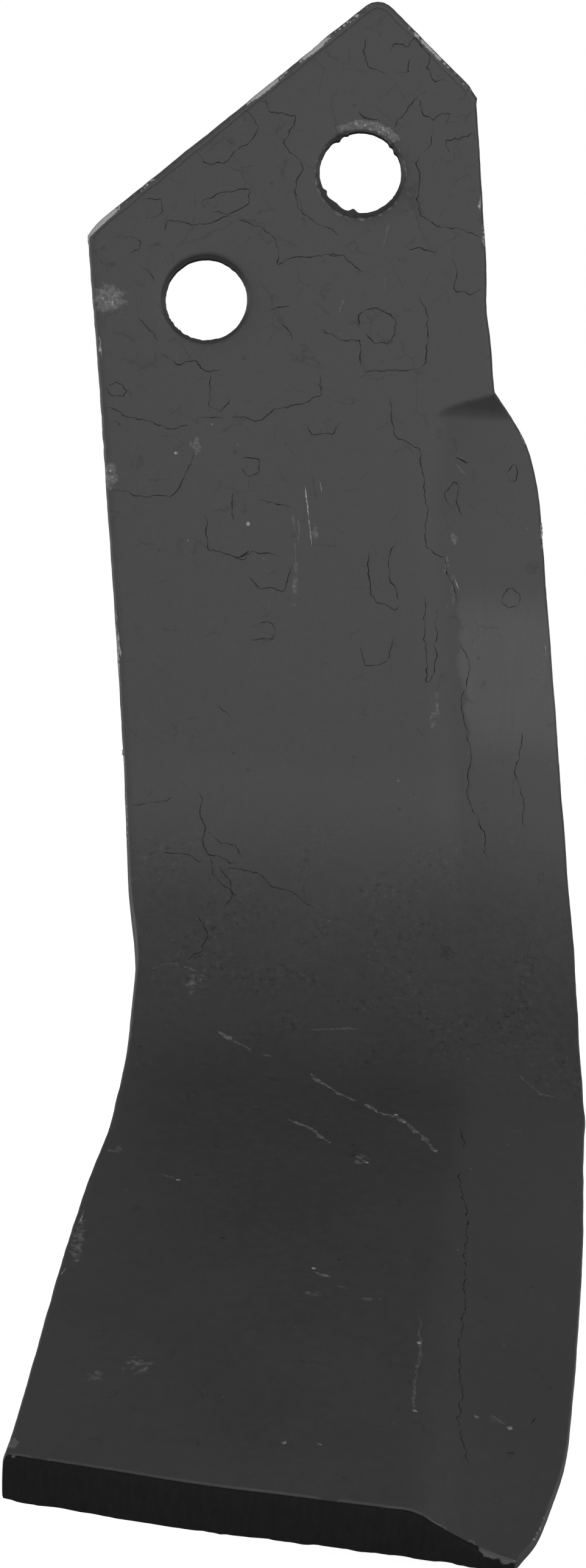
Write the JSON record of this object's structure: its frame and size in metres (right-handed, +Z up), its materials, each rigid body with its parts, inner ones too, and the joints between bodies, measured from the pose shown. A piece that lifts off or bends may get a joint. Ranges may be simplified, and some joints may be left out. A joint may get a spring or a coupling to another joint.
{
  "type": "rotary tiller blade",
  "caption": "Bent steel blade for a rotary tiller: a flat shank with bolt holes, a rolled bevel along one edge and a wide foot turned forward.",
  "frame": {"origin": "midway between the bolt holes, on the shank's back face, which lies against the rotor flange", "axes": "+Z up the shank to its pointed top, +Y out of the back face, +X across the shank to the bevelled edge; the foot turns towards -Y"},
  "size_m": [0.1057, 0.1725, 0.2759],
  "materials": {
    "coated_steel": "satin dark grey coat over mill scale, worn bright in places along the edges and hole rims"
  },
  "bodies": {
    "root": {"blade": "coated_steel"}
  },
  "joints": []
}
